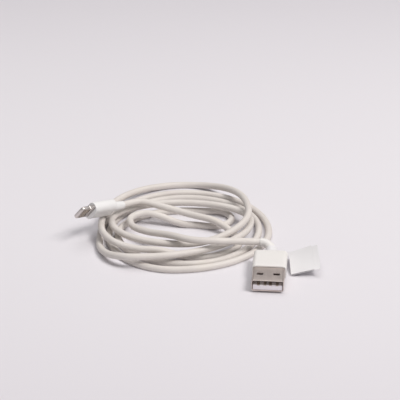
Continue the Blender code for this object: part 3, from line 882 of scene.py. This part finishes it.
steel = steel_look("steel_look", (0.52, 0.475, 0.455), (0.62, 0.57, 0.55))
metal_nodes = ["host_crimp", "device_crimp", "device_shield_upper", "device_shield_lower"]
dress(steel, "plug_steel", *[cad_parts[n] for n in metal_nodes])
# The sleeve's lighter steel is painted light.
lit_sleeve_steel = steel_look("sleeve_lit_look", (0.635, 0.56, 0.525), (0.715, 0.64, 0.60))
dress(lit_sleeve_steel, "plug_steel", sleeve)
# The tip's lighter steel is painted light on its face, which looks down into shade.
lit_tip_steel = steel_look("tip_lit_look", (0.64, 0.60, 0.575), (0.74, 0.695, 0.67))
dress(lit_tip_steel, "plug_steel", tip)

# %% [markdown]
# The tongue is a pale insulator. Its upper side, where the contacts lie, is greyer as painted shade from
# the sleeve's roof above it. Two materials on its faces would do, but with one look its height decides
# which.

# %% Insulator
TONGUE_TOP = 0.00317
insulator = Look("tongue_look")
speckle = insulator.noise(300, detail=3)
# painted shade: above this height the tongue lies under the sleeve's roof
shaded_upper_side = insulator.part_of_place("Z") > TONGUE_TOP
lilac = insulator.mix(speckle, (0.86, 0.81, 0.85), (0.93, 0.88, 0.92))
shade = insulator.mix(shaded_upper_side, lilac, (0.66, 0.61, 0.60))
insulator.drive(base_color=shade, roughness=speckle * 0.15 + 0.35)
dress(insulator, "tongue_plastic", tongue)

# %% [markdown]
# The small pieces each get a look from one recipe: two near colours mixed by noise, with the roughness
# following it. Plain colours would pass at this size, but a close-up would show them flat.


# %% Small pieces
def small_look(name, low, high, rough, metal=0.0):
    """A speckled look between two near colours."""
    look = Look(name, metallic=metal)
    speckle = look.noise(400, detail=3)
    look.drive(base_color=look.mix(speckle, low, high), roughness=speckle * 0.15 + rough)
    return look


def nodes_with(word):
    """The CAD nodes that have a word in their name."""
    return [node for name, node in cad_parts.items() if word in name]


RECIPES = {
    # The insert's grey is partly painted light, lifted for the tip's face that looks down into shade.
    "insert_plastic": ((0.52, 0.485, 0.465), (0.60, 0.56, 0.54), 0.4, "insert"),
    "circuit_board": ((0.02, 0.13, 0.06), (0.04, 0.20, 0.10), 0.4, "board"),
    "cord_jacket": ((0.66, 0.62, 0.58), (0.76, 0.72, 0.68), 0.45, "jacket_end"),
    "wire_red": ((0.50, 0.03, 0.03), (0.65, 0.06, 0.05), 0.35, "wire_red"),
    "wire_white": ((0.74, 0.74, 0.72), (0.84, 0.84, 0.82), 0.35, "wire_white"),
    "wire_green": ((0.03, 0.30, 0.07), (0.06, 0.42, 0.12), 0.35, "wire_green"),
    "wire_black": ((0.02, 0.02, 0.02), (0.05, 0.05, 0.05), 0.35, "wire_black"),
}
for slot, (low, high, rough, word) in RECIPES.items():
    dress(small_look(slot + "_small", low, high, rough), slot, *nodes_with(word))
gold = small_look("contact_look", (0.74, 0.66, 0.58), (0.84, 0.76, 0.67), 0.4, metal=1.0)
dress(gold, "contact_gold", *nodes_with("device_contact_"))
# A darker copy of the gold for the host's contacts: painted shade for their place inside the mouth.
shaded_gold = small_look("shaded_contact_look", (0.50, 0.44, 0.38), (0.58, 0.51, 0.44), 0.4, metal=1.0)
dress(shaded_gold, "contact_gold", *host_contacts)
chip_look = small_look("chip_look", (0.04, 0.04, 0.04), (0.08, 0.08, 0.08), 0.4)
dress(chip_look, "insert_plastic", *nodes_with("chip"))

# %% [markdown]
# The tag is a satin film. It is greyer than the plastic, and its mottle is slow. Real film lets a little
# light through, but next to a pale table that hardly shows, so a plain surface is enough.

# %% Tag film
film = Look("film_look")
mottle = film.noise(120, detail=3)
grey = film.mix(mottle, (0.72, 0.708, 0.715), (0.78, 0.768, 0.775))
film.drive(base_color=grey, roughness=mottle * 0.15 + 0.3)
dress(film, "tag_film", flag, back_leaf, wrap, *nodes_with("tag_tail"))

# %% [markdown]
# ## Table
# The table is pale, and a touch darker towards the front and the far back, as a desk looks under one
# lamp. More lamps could shade it, but they would shade the cable too. So its colour is a mix over y, with
# a slow noise so that no patch is one flat tone.

# %% Table
TABLE_HALF = 1.5
BRIGHTEST_Y = 0.08
EDGE_FADE = 14
edge = np.array([-TABLE_HALF, TABLE_HALF])
across, deep = np.meshgrid(edge, edge, indexing="ij")
table = grid_piece("table", np.stack([across, deep, 0 * deep], axis=-1), round_piece=False)
table_look = Look("table_look", roughness=0.6, specular_ior_level=0.2)
drift = table_look.noise(3, detail=2)
pale = table_look.mix(drift, (0.72, 0.70, 0.73), (0.75, 0.73, 0.76))
off_middle = table_look.part_of_place("Y") - BRIGHTEST_Y
to_edge = (off_middle * off_middle * EDGE_FADE).kept_in_range()
table_look.drive(base_color=table_look.mix(to_edge, pale, (0.60, 0.575, 0.61)))
table.data.materials.append(table_look.material)
print(f"the table is {2 * TABLE_HALF:.0f} m wide")

# %% [markdown]
# ## Light
# A soft studio: a key light high at the right, a wide weaker lamp overhead, a weak one from the front
# that reaches into the plug's mouth, and a dim room for fill. A sun lamp would be simpler, but wide lamps
# give the soft edges of the shadows.

# %% Light
world = bpy.data.worlds.new("studio")
world.use_nodes = True
room = world.node_tree.nodes["Background"]
room.inputs["Color"].default_value = (1.0, 0.985, 1.0, 1.0)
room.inputs["Strength"].default_value = 0.25
bpy.context.scene.world = world


def soft_light(name, place, size, power, colour):
    """A square lamp that faces the part's origin."""
    lamp = bpy.data.lights.new(name, "AREA")
    lamp.size = size
    lamp.energy = power
    lamp.color = colour
    made = bpy.data.objects.new(name, lamp)
    made.location = place
    made.rotation_mode = "QUATERNION"
    made.rotation_quaternion = Vector(place).to_track_quat("Z", "Y")
    bpy.context.scene.collection.objects.link(made)
    print(name, power, "W")


soft_light("key", (1.00, -0.50, 1.60), size=0.7, power=27.0, colour=(1.0, 0.975, 0.955))
soft_light("top", (-0.10, 0.30, 1.20), size=1.0, power=5.6, colour=(1.0, 0.985, 0.98))
soft_light("front", (-0.30, -1.00, 0.40), size=0.8, power=1.2, colour=(1.0, 0.99, 0.99))

# %% [markdown]
# The three tubes are plain meshes. The lengths of their middle lines are added up, which gives the whole
# cord's length.

# %% Cords
declared = sum(along(line)[-1] for line in (device_line, coil_line, host_line))
print(f"declared {declared * 1000:.0f} mm of cord")
